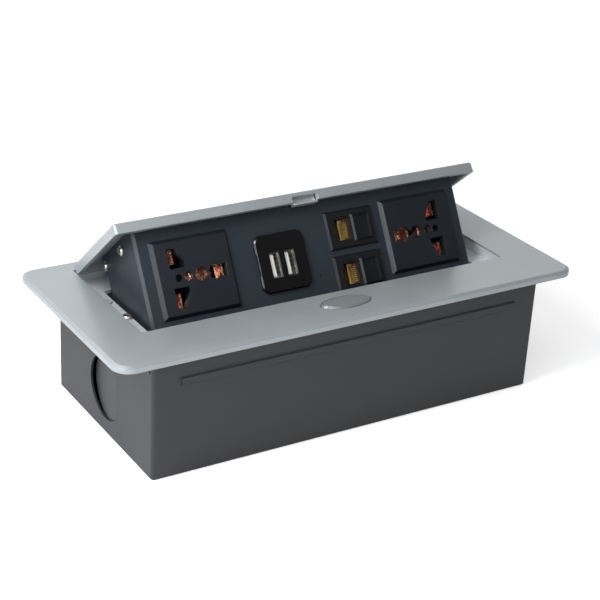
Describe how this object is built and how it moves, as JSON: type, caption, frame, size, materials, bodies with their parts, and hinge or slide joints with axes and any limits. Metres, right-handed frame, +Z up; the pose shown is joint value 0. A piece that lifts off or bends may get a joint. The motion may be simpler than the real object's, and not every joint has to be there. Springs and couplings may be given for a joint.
{
  "type": "in-desk power module",
  "caption": "In-desk power module: a metal frame drops into a desk cut-out and holds a tilting module of universal mains outlets, USB sockets and data jacks over a steel housing.",
  "frame": {"origin": "middle of the housing floor's underside, below the middle of the frame", "axes": "+X along the length to the user's right, +Y away from the user to the hinge side, +Z up out of the desk"},
  "size_m": [0.266, 0.1204, 0.1094],
  "materials": {
    "frame_alloy": "satin silver lacquer on die-cast alloy",
    "lid_alloy": "satin silver lacquer on die-cast alloy",
    "button_alloy": "satin silver lacquer",
    "housing_steel": "fine matt powder coat on folded steel",
    "carrier_steel": "smooth matt powder coat on folded steel",
    "zinc_steel": "zinc plated",
    "nickel_screw": "nickel plated",
    "spring_steel": "bright spring wire",
    "outlet_plastic": "fine matt texture",
    "cover_plastic": "matt",
    "usb_plastic": "polished",
    "jack_plastic": "semi-gloss",
    "tongue_plastic": "white moulded",
    "tube_steel": "nickel plated",
    "contact_copper": "bare copper alloy",
    "contact_gold": "gold plated",
    "board_laminate": "solder mask",
    "pad_rubber": "matt",
    "guide_plastic": "matt"
  },
  "bodies": {
    "base": {"frame": "frame_alloy", "housing_box": "housing_steel", "frame_screws": "nickel_screw", "ledge_pads": "pad_rubber", "button_housing": "guide_plastic", "housing_screws": "nickel_screw", "bracket_left": "zinc_steel", "bracket_right": "zinc_steel", "pivot_pins": "zinc_steel", "tilt_springs": "spring_steel"},
    "button": {"push_button": "button_alloy", "button_springs": "spring_steel"},
    "latch": {"latch_bolt": "zinc_steel", "latch_spring": "spring_steel"},
    "module": {"tilt_lid": "lid_alloy", "module_carrier": "carrier_steel", "carrier_screws": "nickel_screw", "catch_plate": "zinc_steel", "outlet_left": "outlet_plastic", "outlet_right": "outlet_plastic", "outlet_cover_left": "cover_plastic", "outlet_cover_right": "cover_plastic", "live_left": "contact_copper", "neutral_left": "contact_copper", "earth_left": "contact_copper", "live_right": "contact_copper", "neutral_right": "contact_copper", "earth_right": "contact_copper", "usb_plate": "usb_plastic", "usb_board": "board_laminate", "usb_tubes": "tube_steel", "usb_tongues": "tongue_plastic", "jack_plate_upper": "jack_plastic", "jack_plate_lower": "jack_plastic", "jack_insert_upper": "jack_plastic", "jack_insert_lower": "jack_plastic", "jack_wires_upper": "contact_gold", "jack_wires_lower": "contact_gold"}
  },
  "joints": [
    {"name": "module_tilt", "type": "hinge", "parent": "base", "child": "module", "pos_m": [0, 0.0446, 0.0452], "axis": [1, 0, 0], "range_deg": [0, 41], "stiffness_Nm_per_rad": 0.3, "springref_deg": -57.3},
    {"name": "button_press", "type": "slide", "parent": "base", "child": "button", "axis": [0, 0, -1], "range_m": [0, 0.0025], "stiffness_N_per_m": 800, "springref_m": -0.002, "deforming": ["button_springs"]},
    {"name": "latch_slide", "type": "slide", "parent": "base", "child": "latch", "axis": [0, -1, 0], "range_m": [0, 0.0025]}
  ],
  "couplings": [
    {"joint": "latch_slide", "follows": "button_press", "ratio": 1}
  ]
}
